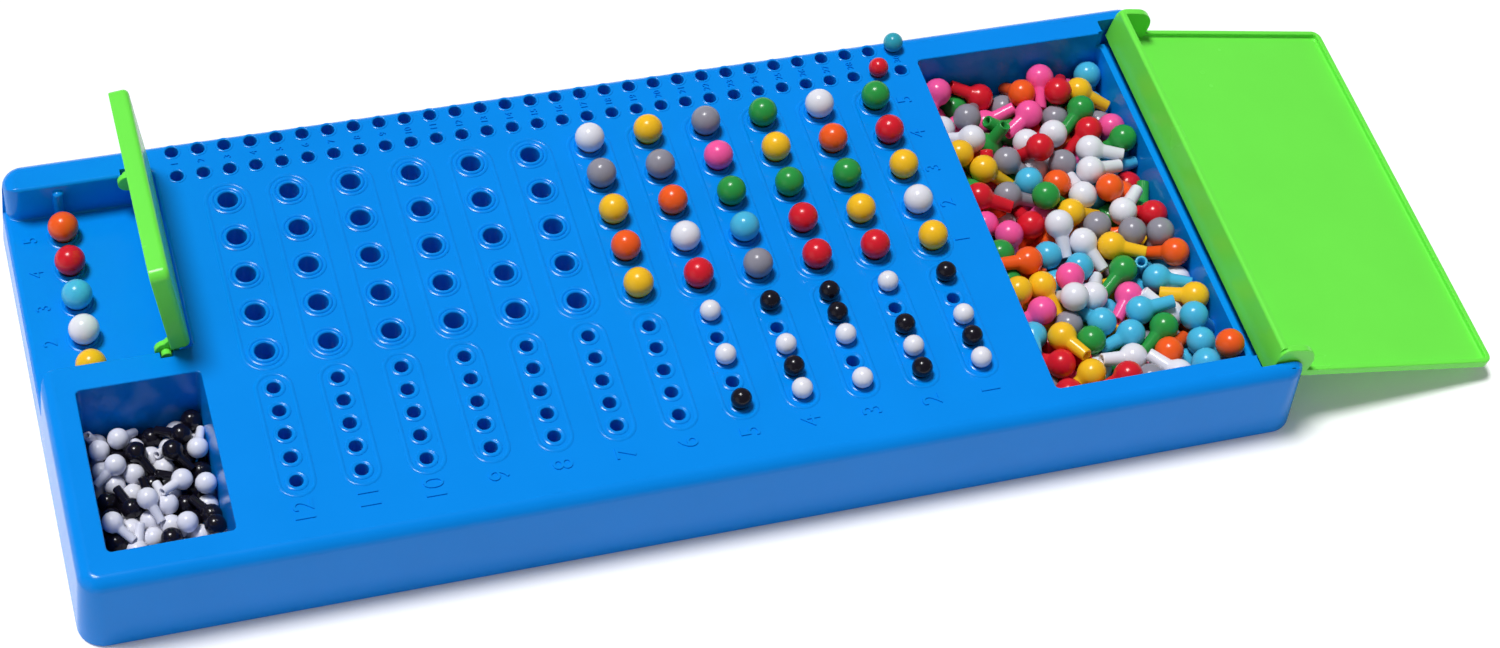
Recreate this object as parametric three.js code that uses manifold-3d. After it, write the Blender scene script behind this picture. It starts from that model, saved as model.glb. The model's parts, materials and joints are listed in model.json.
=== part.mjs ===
import * as THREE from 'three';
import { mergeVertices } from 'three/addons/utils/BufferGeometryUtils.js';
import Module from 'manifold-3d';

const wasm = await Module();
wasm.setup();

// A code breaking peg game. X runs along the board from its left end, Y from the players'
// near side to the far side, Z up from the table. Millimetres.

// Board shell, one thin moulding that is open underneath
const boardHeight = 27.5;
const boardFlare = 1.6;
const boardCorner = 6;
const boardEdgeRound = 3;
const wall = 2.2;
const deckThickness = 2.2;

// Steps and overruns that every piece shares
const overrun = 2;
const cornerSteps = 4;
const roundSteps = 3;
const runningGap = 0.4;
const seatGap = 0.2;

// Code peg and key peg, each a ball head on a round stem
const codePeg = { head: 4.4, stem: 2.2, tip: 1.95, length: 15 };
const keyPeg = { head: 3.05, stem: 1.4, tip: 1.25, length: 10.8 };
const pegSides = 8;
const headRingShares = [-0.3, 0.3, 0.72];
const keyRingShares = [-0.15, 0.6];

// Holes for the two pegs; the code holes have a raised collar
const codeHoleClearance = 0.55;
const keyHoleClearance = 0.4;
const codeCollarWidth = 1.25;
const codeCollarHeight = 0.5;
const codeHoleSides = 8;
const keyHoleSides = 6;
const codeHoleRadius = codePeg.stem + codeHoleClearance;
const keyHoleRadius = keyPeg.stem + keyHoleClearance;
const codeCollarRadius = codeHoleRadius + codeCollarWidth;

// Across the board: key field, code field and score track, from the near edge to the far one
const rows = 5;
const codeRowPitch = 14;
const keyRowPitch = 8;
const nearMargin = 22.4;
const fieldGap = 12.9;
const trackGap = 11.9;
const trackRowGap = 9.2;
const trackMargin = 4.6;
const farKeyRowY = nearMargin + (rows - 1) * keyRowPitch;
const farCodeRowY = farKeyRowY + fieldGap + (rows - 1) * codeRowPitch;
const trackNearY = farCodeRowY + trackGap;
const trackFarY = trackNearY + trackRowGap;
const boardWidth = trackFarY + trackMargin;

// Bay for the secret code, open at the board's left end, where its side walls end round
const bayWidth = 42.8;
const bayDepth = 13.3;
const bayEndRound = 4.8;
const farRim = 10.8;
const secretX = 15;
const secretPitch = 12.7;
const secretFarGap = 8;
const secretNearGap = 6.1;
const bayPostRadius = 1.6;
const bayPostDrop = 2.5;
const bayFloorHeight = boardHeight - bayDepth;
const secretFarY = boardWidth - farRim - secretFarGap;
const bay = {
  right: bayWidth,
  near: secretFarY - (rows - 1) * secretPitch - secretNearGap,
  far: boardWidth - farRim,
};

// Small tray for the loose key pegs, between the bay and the near edge
const keyTrayLeftRim = 8.7;
const keyTrayNearRim = 10.3;
const keyTrayWidth = 34.5;
const keyTrayBayRim = 9;
const keyTray = {
  left: keyTrayLeftRim,
  right: keyTrayLeftRim + keyTrayWidth,
  near: keyTrayNearRim,
  far: bay.near - keyTrayBayRim,
};

// Along the board: the columns of both fields, and then the tray for the loose code pegs
const columns = 12;
const columnPitch = 18;
const fieldLeftGap = 18.9;
const fieldRightGap = 19;
const codeTrayWidth = 62.8;
const codeTrayNearRim = 9.1;
const firstColumnX = bay.right + fieldLeftGap;
const codeTrayLeft = firstColumnX + (columns - 1) * columnPitch + fieldRightGap;
const codeTray = {
  left: codeTrayLeft,
  right: codeTrayLeft + codeTrayWidth,
  near: codeTrayNearRim,
  far: boardWidth - farRim,
};

// Both trays
const trayCorner = 2;
const trayTaper = 1.2;
const trayFloorHeight = 1.5;
const trayFloorThickness = 2;

// Loose code pegs in their tray, drawn as one body: each lies with its tip in the next one's
// ball, and one stands on its tip. They have fewer faces than the pegs in the holes
const loosePitch = 12.6;
const looseRowPitch = 11.7;
const looseReach = 13.6;
const looseGap = 0.3;
const looseDrift = 0.9;
const looseLayer = 5.2;
const looseSides = 6;
const looseRingShares = [-0.15, 0.6];
const scatterShare = 0.618034;

// Score track, two rows of small holes that fill the deck between the bay and the code tray
const trackHoles = 30;
const trackEndGap = 6.3;
const trackFirstX = bay.right + trackEndGap;
const trackPitch = (codeTray.left - trackEndGap - trackFirstX) / (trackHoles - 1);

// Flap that hides the secret code, a shallow hood on two round ears
const flapAxisGap = 7.6;
const flapAxisDrop = 1.2;
const flapOverhang = 1.3;
const flapHeel = 1.2;
const flapOverlapNear = 2.0;
const flapOverlapFar = 2.8;
const flapPlate = 1.8;
const flapWall = 1.6;
const flapRise = 1.6;
const flapDepth = 5.6;
const flapCorner = 3;
const flapEdgeRound = 1.6;
const flapEarRadius = 4;
const flapEarThickness = 1.8;
const flapEarGap = 0.5;
const flapEarFoot = 8;
const flapPinRadius = 1.5;
const flapPinLength = 2;
const flapOpenAngle = 82;
const flapAxisX = bay.right - flapAxisGap;
const flapAxisZ = boardHeight - flapAxisDrop;
const flapReach = flapAxisX + flapOverhang;

// Lid of the code peg tray, a shallow hood with a skirt and two cheeks at its hinge
const lidAxisGap = 8.7;
const lidAxisDrop = 2.4;
const lidFreeOverlap = 3.5;
const lidOverlap = 4.6;
const lidPlate = 1.4;
const lidDepth = 3;
const lidWall = 1.6;
const lidCorner = 3;
const lidRestGap = 0.3;
const lidSkirtReach = 4.6;
const lidSkirtDrop = 6.8;
const lidSkirtWall = 2;
const lidSkirtRound = 1;
const lidCheekReach = 8.2;
const lidCheekWall = 2.2;
const lidCheekRound = 6;
const lidCheekHeelRound = 3;
const lidPinRadius = 1.5;
const lidPinLength = 2.4;
const lidEdgeHeight = 4.4;
const lidAxisX = codeTray.right + lidAxisGap;
const lidAxisZ = boardHeight - lidAxisDrop;
const lidReach = lidAxisX - codeTray.left + lidFreeOverlap;
const lidRise = lidAxisDrop + lidRestGap;
const lidTop = lidRise + lidDepth;

// The open lid droops until its free edge is this far above the table
const lidDroop = Math.asin((lidAxisZ - lidEdgeHeight) / Math.hypot(lidReach, lidTop))
  - Math.atan2(lidTop, lidReach);
const lidOpenAngle = THREE.MathUtils.radToDeg(Math.PI + lidDroop);

// Seat of the lid's hinge in the board's right end, clear of the circle that the skirt sweeps
const endWallThickness = 1.5;
const hingeNotchGap = 0.6;
const hingeSweep = lidSkirtRound
  + Math.hypot(lidSkirtReach - lidSkirtRound, lidSkirtDrop - lidSkirtRound);
const boardLength = lidAxisX + lidSkirtReach + seatGap;
const hingeWellLeft = codeTray.right + endWallThickness;
const hingeWellFloor = lidAxisZ - hingeSweep - runningGap;
const hingeNotchLeft = lidAxisX - Math.hypot(lidCheekReach, lidAxisDrop) - runningGap * 2;
const endWallTop = lidAxisZ - Math.sqrt(
  Math.max(0, (hingeSweep + runningGap) ** 2 - (lidAxisX - hingeWellLeft) ** 2));

// Stiffening ribs under the deck
const ribThickness = 1.6;
const ribDepth = 8;

const blue = { color: 0x1583e2, roughness: 0.3, metalness: 0 };
const green = { color: 0x55dc3c, roughness: 0.3, metalness: 0 };
const pegColours = {
  white: 0xe6e6ee,
  black: 0x16141c,
  grey: 0x8e8c98,
  yellow: 0xf3bd22,
  orange: 0xf2601c,
  red: 0xd81f2e,
  pink: 0xf0559c,
  green: 0x2c9440,
  lightblue: 0x46b2dc,
  teal: 0x2f9fb4,
};

// Pegs on the board, from the far row to the near row; a dash is an empty hole
const playedCode = {
  6: ['white', 'grey', 'yellow', 'orange', 'yellow'],
  5: ['yellow', 'grey', 'orange', 'white', 'red'],
  4: ['grey', 'pink', 'green', 'lightblue', 'grey'],
  3: ['green', 'yellow', 'green', 'red', 'red'],
  2: ['white', 'orange', 'green', 'yellow', 'red'],
  1: ['green', 'red', 'yellow', 'white', 'yellow'],
};
const playedKeys = {
  5: ['white', '-', 'white', '-', 'black'],
  4: ['black', '-', 'white', 'black', 'white'],
  3: ['black', 'black', 'white', '-', 'white'],
  2: ['white', '-', 'black', 'white', 'black'],
  1: ['black', '-', 'white', 'black', 'white'],
};
const secretCode = ['orange', 'red', 'lightblue', 'white', 'yellow'];
const nearScore = { hole: 29, colour: 'red' };
const farScore = { hole: 30, colour: 'teal' };

// A closed three.js geometry becomes a solid, and a solid a geometry
function solid(geometry) {
  geometry.deleteAttribute('normal');
  geometry.deleteAttribute('uv');
  const merged = mergeVertices(geometry);
  return new wasm.Manifold(new wasm.Mesh({
    numProp: 3,
    vertProperties: new Float32Array(merged.attributes.position.array),
    triVerts: new Uint32Array(merged.index.array),
  }));
}

function geometryOf(body) {
  const mesh = body.getMesh();
  const geometry = new THREE.BufferGeometry();
  geometry.setAttribute('position', new THREE.BufferAttribute(mesh.vertProperties, 3));
  geometry.setIndex(new THREE.BufferAttribute(mesh.triVerts, 1));
  geometry.computeVertexNormals();
  return geometry;
}

function joined(bodies) {
  return bodies.reduce((whole, body) => whole.add(body));
}

function block(left, right, near, far, low, high) {
  const geometry = new THREE.BoxGeometry(right - left, far - near, high - low);
  geometry.translate((left + right) / 2, (near + far) / 2, (low + high) / 2);
  return solid(geometry);
}

function upright(x, y, low, high, radius, sides) {
  const geometry = new THREE.CylinderGeometry(radius, radius, high - low, sides);
  geometry.rotateX(Math.PI / 2);
  geometry.translate(x, y, (low + high) / 2);
  return solid(geometry);
}

function crosswise(x, z, near, far, radius, sides) {
  const geometry = new THREE.CylinderGeometry(radius, radius, far - near, sides);
  geometry.translate(x, (near + far) / 2, z);
  return solid(geometry);
}

// One level of a loft: a rectangle with round corners, drawn in by inset
function ring(area, corner, inset, height) {
  const radius = Math.max(corner - inset, wall / 4);
  const centres = [
    [area.right - inset - radius, area.far - inset - radius],
    [area.left + inset + radius, area.far - inset - radius],
    [area.left + inset + radius, area.near + inset + radius],
    [area.right - inset - radius, area.near + inset + radius],
  ];
  return centres.flatMap(([x, y], quarter) =>
    Array.from({ length: cornerSteps + 1 }, (_, step) => {
      const angle = (quarter + step / cornerSteps) * Math.PI / 2;
      return [x + radius * Math.cos(angle), y + radius * Math.sin(angle), height];
    }));
}

// A loft through rings of equal count, listed from the lowest up and capped at both ends
function loft(rings) {
  const count = rings[0].length;
  const faces = [];
  rings.slice(1).forEach((_, level) => {
    for (let n = 0; n < count; n += 1) {
      const a = level * count + n;
      const b = level * count + (n + 1) % count;
      faces.push(a, b, b + count, a, b + count, a + count);
    }
  });
  const top = (rings.length - 1) * count;
  for (let n = 1; n < count - 1; n += 1) {
    faces.push(0, n + 1, n, top, top + n, top + n + 1);
  }
  const geometry = new THREE.BufferGeometry();
  const points = new Float32Array(rings.flat(2));
  geometry.setAttribute('position', new THREE.BufferAttribute(points, 3));
  geometry.setIndex(faces);
  return solid(geometry);
}

// Rings that round the upper edge of a drafted block over a quarter circle
function roundedTop(area, corner, edge, flareAt, top) {
  return Array.from({ length: roundSteps + 1 }, (_, step) => {
    const angle = step / roundSteps * Math.PI / 2;
    const height = top - edge + edge * Math.sin(angle);
    const inset = edge * (1 - Math.cos(angle)) - flareAt(height);
    return ring(area, corner, inset, height);
  });
}

// An outline in the XZ plane, given as a Shape, carried from near to far along Y
function alongY(shape, near, far) {
  const geometry = new THREE.ExtrudeGeometry(shape, {
    depth: far - near,
    bevelEnabled: false,
    curveSegments: cornerSteps * 2,
  });
  geometry.rotateX(Math.PI / 2);
  geometry.translate(0, far, 0);
  return solid(geometry);
}

// An outline in the XY plane, carried from low to high along Z
function upward(shape, low, high) {
  const geometry = new THREE.ExtrudeGeometry(shape, {
    depth: high - low,
    bevelEnabled: false,
    curveSegments: cornerSteps * 2,
  });
  geometry.translate(0, 0, low);
  return solid(geometry);
}

const deckUnderside = boardHeight - deckThickness;
const boardArea = { left: 0, right: boardLength, near: 0, far: boardWidth };
const flareAt = (height) => boardFlare * (1 - height / boardHeight);

const lidNear = codeTray.near - lidOverlap;
const lidFar = codeTray.far + lidOverlap;
const hingeNotchNear = lidNear - hingeNotchGap;
const hingeNotchFar = lidFar + hingeNotchGap;

function columnX(column) {
  return firstColumnX + (columns - column) * columnPitch;
}

function grow(area, by) {
  return {
    left: area.left - by,
    right: area.right + by,
    near: area.near - by,
    far: area.far + by,
  };
}

// Outer skin and the hollow below it, both flaring out towards the table
function shell() {
  const outer = loft([
    ring(boardArea, boardCorner, -flareAt(0), 0),
    ...roundedTop(boardArea, boardCorner, boardEdgeRound, flareAt, boardHeight),
  ]);
  const hollow = loft([
    ring(boardArea, boardCorner, wall - flareAt(-overrun), -overrun),
    ring(boardArea, boardCorner, wall - flareAt(deckUnderside), deckUnderside),
  ]);
  return { outer, hollow };
}

function trayWalls(area) {
  return loft([
    ring(grow(area, wall), trayCorner + wall, trayTaper, trayFloorHeight),
    ring(grow(area, wall), trayCorner + wall, 0, boardHeight - deckThickness / 2),
  ]);
}

function trayPocket(area) {
  const floor = trayFloorHeight + trayFloorThickness;
  return loft([
    ring(area, trayCorner, trayTaper, floor),
    ring(area, trayCorner, 0, boardHeight),
    ring(area, trayCorner, 0, boardHeight + overrun),
  ]);
}

// Half-round posts that stand against the bay's two side walls, in line with the secret pegs
function bayPosts() {
  const top = boardHeight - bayPostDrop;
  return [bay.near, bay.far].map((y) =>
    upright(secretX, y, bayFloorHeight - deckThickness / 2, top, bayPostRadius, codeHoleSides));
}

function bayPocket() {
  const mouth = -boardFlare - overrun;
  const outline = new THREE.Shape();
  outline.moveTo(bay.right, bay.near);
  outline.lineTo(bay.right, bay.far);
  outline.lineTo(bayEndRound, bay.far);
  outline.absarc(
    bayEndRound, bay.far + bayEndRound, bayEndRound, -Math.PI / 2, -Math.PI, true);
  outline.lineTo(mouth, bay.far + bayEndRound);
  outline.lineTo(mouth, bay.near - bayEndRound);
  outline.lineTo(0, bay.near - bayEndRound);
  outline.absarc(bayEndRound, bay.near - bayEndRound, bayEndRound, Math.PI, Math.PI / 2, true);
  outline.closePath();
  return upward(outline, bayFloorHeight, boardHeight + overrun);
}

// U notches, open at the top, that hold the flap's pins
function flapBearings() {
  const radius = flapPinRadius + runningGap;
  const depth = wall + runningGap;
  return [[bay.near - depth, bay.near + seatGap], [bay.far - seatGap, bay.far + depth]]
    .flatMap(([near, far]) => [
      crosswise(flapAxisX, flapAxisZ, near, far, radius, codeHoleSides),
      block(flapAxisX - radius, flapAxisX + radius, near, far, flapAxisZ, boardHeight + overrun),
    ]);
}

// Solid ends of the two rims round the lid's hinge, and the space that is cut from them
function hingeBlock() {
  return block(
    hingeNotchLeft - wall, boardLength - wall, hingeNotchNear - wall, hingeNotchFar + wall,
    hingeWellFloor - wall, boardHeight - deckThickness / 2);
}

function hingeWell() {
  const end = boardLength + boardFlare + overrun;
  const top = boardHeight + overrun;
  const well = block(
    hingeWellLeft, end, hingeNotchNear, hingeNotchFar, hingeWellFloor, top);
  const notches = [[hingeNotchNear, codeTray.near], [codeTray.far, hingeNotchFar]]
    .map(([near, far]) => block(hingeNotchLeft, end, near, far, hingeWellFloor, top));
  const lowWall = block(
    codeTray.right - overrun, hingeWellLeft + overrun, codeTray.near, codeTray.far,
    endWallTop, top);
  const depth = lidPinLength + runningGap;
  const bearings = [
    [hingeNotchNear - depth, hingeNotchNear + seatGap],
    [hingeNotchFar - seatGap, hingeNotchFar + depth],
  ].map(([near, far]) =>
    crosswise(lidAxisX, lidAxisZ, near, far, lidPinRadius + runningGap, codeHoleSides));
  return [well, ...notches, lowWall, ...bearings];
}

// Ribs under the deck, one each side of the field of code holes
function ribs() {
  const nearRibY = (farCodeRowY - (rows - 1) * codeRowPitch + farKeyRowY) / 2;
  const farRibY = (farCodeRowY + trackNearY) / 2;
  return [nearRibY, farRibY].map((y) => block(
    bay.right, codeTray.left, y - ribThickness / 2, y + ribThickness / 2,
    deckUnderside - ribDepth, deckUnderside + deckThickness / 2));
}

function holePlaces() {
  const places = { code: [], key: [], secret: [] };
  for (let column = columns; column > 0; column -= 1) {
    for (let row = 0; row < rows; row += 1) {
      places.code.push([columnX(column), farCodeRowY - row * codeRowPitch]);
      places.key.push([columnX(column), farKeyRowY - row * keyRowPitch]);
    }
  }
  for (let hole = 0; hole < trackHoles; hole += 1) {
    places.key.push([trackFirstX + hole * trackPitch, trackNearY]);
    places.key.push([trackFirstX + hole * trackPitch, trackFarY]);
  }
  secretCode.forEach((_, row) => places.secret.push([secretX, secretFarY - row * secretPitch]));
  return places;
}

function board() {
  const { outer, hollow } = shell();
  const bayCase = block(
    -boardFlare, bay.right + wall, bay.near - wall, bay.far + wall,
    bayFloorHeight - deckThickness, boardHeight - deckThickness / 2);
  const carried = joined([
    outer.subtract(hollow),
    trayWalls(codeTray),
    trayWalls(keyTray),
    bayCase.intersect(outer),
    hingeBlock(),
    ...ribs(),
  ]);
  const pockets = joined([
    trayPocket(codeTray), trayPocket(keyTray), bayPocket(), ...hingeWell(), ...flapBearings(),
  ]);
  const places = holePlaces();
  const surfaces = [[places.code, boardHeight], [places.secret, bayFloorHeight]];
  const collars = surfaces.flatMap(([spots, level]) => spots.map(([x, y]) =>
    upright(x, y, level - deckThickness / 2, level + codeCollarHeight,
      codeCollarRadius, codeHoleSides)));
  const bores = surfaces.flatMap(([spots, level]) => spots.map(([x, y]) =>
    upright(x, y, level - deckThickness - overrun, level + overrun,
      codeHoleRadius, codeHoleSides)));
  const pins = places.key.map(([x, y]) =>
    upright(x, y, deckUnderside - overrun, boardHeight + overrun, keyHoleRadius, keyHoleSides));
  return joined([carried.subtract(pockets), ...bayPosts(), ...collars])
    .subtract(joined([...bores, ...pins]));
}

// A peg as a profile turned about its own axis, with the centre of the head at zero
function peg({ head, stem, tip, length }, sides, ringShares) {
  const neck = Math.sqrt(head * head - stem * stem);
  const rings = ringShares.map((share) => {
    const height = head * share;
    return new THREE.Vector2(Math.sqrt(head * head - height * height), height);
  });
  const profile = [
    new THREE.Vector2(0, head - length),
    new THREE.Vector2(tip, head - length),
    new THREE.Vector2(stem, -neck),
    ...rings,
    new THREE.Vector2(0, head),
  ];
  const geometry = new THREE.LatheGeometry(profile, sides);
  geometry.rotateX(Math.PI / 2);
  return geometry;
}

// An irregular but fixed share, from zero up to one, for each count
function scatter(count) {
  return (count * count * scatterShare) % 1;
}

function middleOf(list) {
  return Math.floor(list.length / 2);
}

// Centres of the loose balls: rows across the tray, every other one moved by half a pitch. The
// middle one is at the height of a peg that stands on its tip
function looseCentres() {
  const margin = trayTaper + looseGap + codePeg.head + looseDrift;
  const left = codeTray.left + margin;
  const near = codeTray.near + margin;
  const width = codeTray.right - margin - left;
  const depth = codeTray.far - margin - near;
  const steps = Math.ceil(width / loosePitch);
  const rows = Math.ceil(depth / looseRowPitch);
  const floor = trayFloorHeight + trayFloorThickness + looseGap;
  const centres = [];
  for (let row = 0; row <= rows; row += 1) {
    const moved = row % 2 / 2;
    for (let step = moved; step <= steps; step += 1) {
      const count = centres.length + 1;
      centres.push(new THREE.Vector3(
        left + step * width / steps + looseDrift * (2 * scatter(count + rows) - 1),
        near + row * depth / rows + looseDrift * (2 * scatter(count + steps) - 1),
        floor + codePeg.head + looseLayer * scatter(count)));
    }
  }
  centres[middleOf(centres)].z = floor + codePeg.length - codePeg.head;
  return centres;
}

// Links the balls into one tree that grows from the middle: each gets the neighbour that its
// own peg lies against
function leanings(centres) {
  const links = new Map([[middleOf(centres), null]]);
  const inReach = (spot, other) => centres[spot].distanceTo(centres[other]) < looseReach;
  for (let draw = 1; draw < centres.length; draw += 1) {
    const choices = [];
    centres.forEach((centre, spot) => {
      if (!links.has(spot)) {
        [...links.keys()].filter((linked) => inReach(spot, linked))
          .forEach((linked) => choices.push([spot, linked]));
      }
    });
    if (choices.length > 0) {
      links.set(...choices[Math.floor(scatter(draw) * choices.length)]);
    }
  }
  return links;
}

function loosePegs() {
  const centres = looseCentres();
  const links = leanings(centres);
  const downward = new THREE.Vector3(0, 0, -1);
  return joined([...links].map(([spot, carrier]) => {
    const centre = centres[spot];
    const lean = carrier === null ? downward : centres[carrier].clone().sub(centre).normalize();
    const form = peg(codePeg, looseSides, looseRingShares);
    form.applyQuaternion(new THREE.Quaternion().setFromUnitVectors(downward, lean));
    form.translate(centre.x, centre.y, centre.z);
    return solid(form);
  }));
}

// Height of a head that rests on the rim of its hole
function headHeight(head, hole) {
  const reach = head + seatGap;
  return Math.sqrt(reach * reach - hole * hole);
}

// The flap closed, seen from its hinge axis: it reaches to the left and lies above the axis
function flap() {
  const length = bay.far - bay.near;
  const near = -length / 2 - flapOverlapNear;
  const far = length / 2 + flapOverlapFar;
  const area = { left: -flapReach, right: -flapHeel, near, far };
  const straight = () => 0;
  const top = flapRise + flapDepth;
  const hood = loft([
    ring(area, flapCorner, 0, flapRise),
    ...roundedTop(area, flapCorner, flapEdgeRound, straight, top),
  ]);
  const inside = loft([
    ring(area, flapCorner, flapWall, flapRise - overrun),
    ring(area, flapCorner, flapWall, top - flapPlate),
  ]);
  const ear = new THREE.Shape();
  const plateFoot = top - flapPlate / 2;
  ear.moveTo(-flapHeel - flapWall / 2, plateFoot);
  ear.lineTo(-flapEarFoot, plateFoot);
  ear.lineTo(-flapEarRadius, 0);
  ear.absarc(0, 0, flapEarRadius, Math.PI, 2 * Math.PI, false);
  ear.lineTo(flapEarRadius, flapRise);
  ear.closePath();
  const earAt = length / 2 - flapEarGap;
  const ears = [-earAt, earAt - flapEarThickness]
    .map((start) => alongY(ear, start, start + flapEarThickness));
  const reach = earAt + flapPinLength;
  const pins = [[-reach, -earAt + flapEarThickness / 2], [earAt - flapEarThickness / 2, reach]]
    .map(([start, end]) => crosswise(0, 0, start, end, flapPinRadius, pegSides));
  return joined([hood.subtract(inside), ...ears, ...pins]);
}

// The lid closed, seen from its hinge axis: hood to the left, skirt to the right
function lid() {
  const length = lidFar - lidNear;
  const area = { left: -lidReach, right: lidSkirtReach, near: -length / 2, far: length / 2 };
  const edge = lidPlate / 2;
  const straight = () => 0;
  const hood = loft([
    ring(area, lidCorner, 0, lidRise),
    ...roundedTop(area, lidCorner, edge, straight, lidTop),
  ]);
  const inside = loft([
    ring(area, lidCorner, lidWall, lidRise - overrun),
    ring(area, lidCorner, lidWall, lidTop - lidPlate),
  ]);
  const cheek = new THREE.Shape();
  const joint = lidTop - lidPlate / 2;
  cheek.moveTo(-lidCheekReach, joint);
  cheek.lineTo(-lidCheekReach, lidCheekRound - lidSkirtDrop);
  cheek.absarc(
    lidCheekRound - lidCheekReach, lidCheekRound - lidSkirtDrop, lidCheekRound,
    Math.PI, 1.5 * Math.PI, false);
  cheek.absarc(
    lidSkirtReach - lidCheekHeelRound, lidCheekHeelRound - lidSkirtDrop, lidCheekHeelRound,
    1.5 * Math.PI, 2 * Math.PI, false);
  cheek.lineTo(lidSkirtReach, joint);
  cheek.closePath();
  const cheeks = [-length / 2, length / 2 - lidCheekWall]
    .map((start) => alongY(cheek, start, start + lidCheekWall));
  const root = length / 2 - lidCheekWall / 2;
  const section = new THREE.Shape();
  section.moveTo(lidSkirtReach - lidSkirtWall, joint);
  section.lineTo(lidSkirtReach - lidSkirtWall, -lidSkirtDrop);
  section.absarc(
    lidSkirtReach - lidSkirtRound, lidSkirtRound - lidSkirtDrop, lidSkirtRound,
    1.5 * Math.PI, 2 * Math.PI, false);
  section.lineTo(lidSkirtReach, joint);
  section.closePath();
  const skirt = alongY(section, -root, root);
  const reach = length / 2 + lidPinLength;
  const pins = [[-reach, -root], [root, reach]]
    .map(([start, end]) => crosswise(0, 0, start, end, lidPinRadius, pegSides));
  return joined([hood.subtract(inside), ...cheeks, skirt, ...pins]);
}

const game = new THREE.Group();

function place(name, geometry, finish, x, y, z, turn = 0) {
  const mesh = new THREE.Mesh(geometry, new THREE.MeshStandardMaterial(finish));
  mesh.name = name;
  mesh.position.set(x, y, z);
  mesh.rotation.y = THREE.MathUtils.degToRad(turn);
  game.add(mesh);
}

place('game_board', geometryOf(board()), blue, 0, 0, 0);
place('secret_flap', geometryOf(flap()), green,
  flapAxisX, (bay.near + bay.far) / 2, flapAxisZ, flapOpenAngle);
place('tray_lid', geometryOf(lid()), green,
  lidAxisX, (lidNear + lidFar) / 2, lidAxisZ, lidOpenAngle);

const pegFinish = (colour) => ({ color: pegColours[colour], roughness: 0.25, metalness: 0 });
place('loose_code_pegs', geometryOf(loosePegs()), pegFinish('pink'), 0, 0, 0);

const codePegForm = geometryOf(solid(peg(codePeg, pegSides, headRingShares)));
const keyPegForm = geometryOf(solid(peg(keyPeg, pegSides, keyRingShares)));
const codeHeadHeight = codeCollarHeight + headHeight(codePeg.head, codeHoleRadius);
const keyHeadHeight = headHeight(keyPeg.head, keyHoleRadius);

Object.entries(playedCode).forEach(([column, colours]) => colours.forEach((colour, row) => {
  place(`code_peg_c${column}_r${rows - row}`, codePegForm, pegFinish(colour),
    columnX(column), farCodeRowY - row * codeRowPitch, boardHeight + codeHeadHeight);
}));

secretCode.forEach((colour, row) => {
  place(`secret_peg_r${rows - row}`, codePegForm, pegFinish(colour),
    secretX, secretFarY - row * secretPitch, bayFloorHeight + codeHeadHeight);
});

Object.entries(playedKeys).forEach(([column, colours]) => colours.forEach((colour, row) => {
  if (colour !== '-') {
    place(`key_peg_c${column}_r${rows - row}`, keyPegForm, pegFinish(colour),
      columnX(column), farKeyRowY - row * keyRowPitch, boardHeight + keyHeadHeight);
  }
}));

[[nearScore, trackNearY, 'near'], [farScore, trackFarY, 'far']].forEach(([score, y, side]) => {
  place(`score_peg_${side}`, keyPegForm, pegFinish(score.colour),
    trackFirstX + (score.hole - 1) * trackPitch, y, boardHeight + keyHeadHeight);
});

// The origin lies on the table, under the middle of the game as it stands open
game.updateMatrixWorld(true);
const reach = new THREE.Box3().setFromObject(game, true);
const middle = reach.getCenter(new THREE.Vector3());
game.position.set(-middle.x, -middle.y, -reach.min.z);

export default game;
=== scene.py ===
import json
import math
import bpy
import numpy as np
from mathutils import Matrix, Vector


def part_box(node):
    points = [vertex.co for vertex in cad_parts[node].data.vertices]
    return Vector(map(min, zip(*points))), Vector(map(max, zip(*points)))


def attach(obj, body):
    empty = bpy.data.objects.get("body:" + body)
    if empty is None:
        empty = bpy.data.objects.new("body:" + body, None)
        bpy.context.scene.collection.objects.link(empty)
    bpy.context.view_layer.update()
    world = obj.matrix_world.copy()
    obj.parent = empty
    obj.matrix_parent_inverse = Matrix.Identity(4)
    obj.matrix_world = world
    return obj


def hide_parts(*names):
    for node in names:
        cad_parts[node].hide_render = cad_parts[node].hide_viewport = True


# A code breaking peg game: blue board, green flap and lid, ball headed pegs.
# Shapes are worked out in millimetres in the board's own frame: X along the board from its
# left end, Y from the near side to the far side, Z up from the table.

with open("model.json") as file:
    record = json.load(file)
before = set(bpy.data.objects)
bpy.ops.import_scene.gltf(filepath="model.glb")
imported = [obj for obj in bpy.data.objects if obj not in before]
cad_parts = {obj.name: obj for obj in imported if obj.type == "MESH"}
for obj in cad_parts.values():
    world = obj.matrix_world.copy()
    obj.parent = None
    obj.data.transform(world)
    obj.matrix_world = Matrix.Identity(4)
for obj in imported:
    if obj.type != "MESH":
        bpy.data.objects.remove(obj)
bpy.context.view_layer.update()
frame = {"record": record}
scene = bpy.context.scene
mm = 0.001
print("frame is in place")

camera = {
    "place": (-0.238958, -0.5301, 0.7276),
    "right": (0.95411846, -0.27958998, 0.10717927),
    "up": (0.15871587, 0.77575492, 0.61074838),
    "back": (-0.25390397, -0.56571526, 0.78453746),
    "lens": 74.61, "sensor": 36.0, "clipStart": 0.05, "clipEnd": 20.0,
}


def addCamera():
    # The photograph's camera: its place in metres and its three axes
    data = bpy.data.cameras.new("camera")
    data.lens = camera["lens"]
    data.sensor_width = camera["sensor"]
    data.sensor_fit = "HORIZONTAL"
    data.clip_start = camera["clipStart"]
    data.clip_end = camera["clipEnd"]
    holder = bpy.data.objects.new("camera", data)
    scene.collection.objects.link(holder)
    axes = Matrix((camera["right"], camera["up"], camera["back"])).transposed().to_4x4()
    holder.matrix_world = Matrix.Translation(Vector(camera["place"])) @ axes
    scene.camera = holder


addCamera()

# Shared shapes

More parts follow.
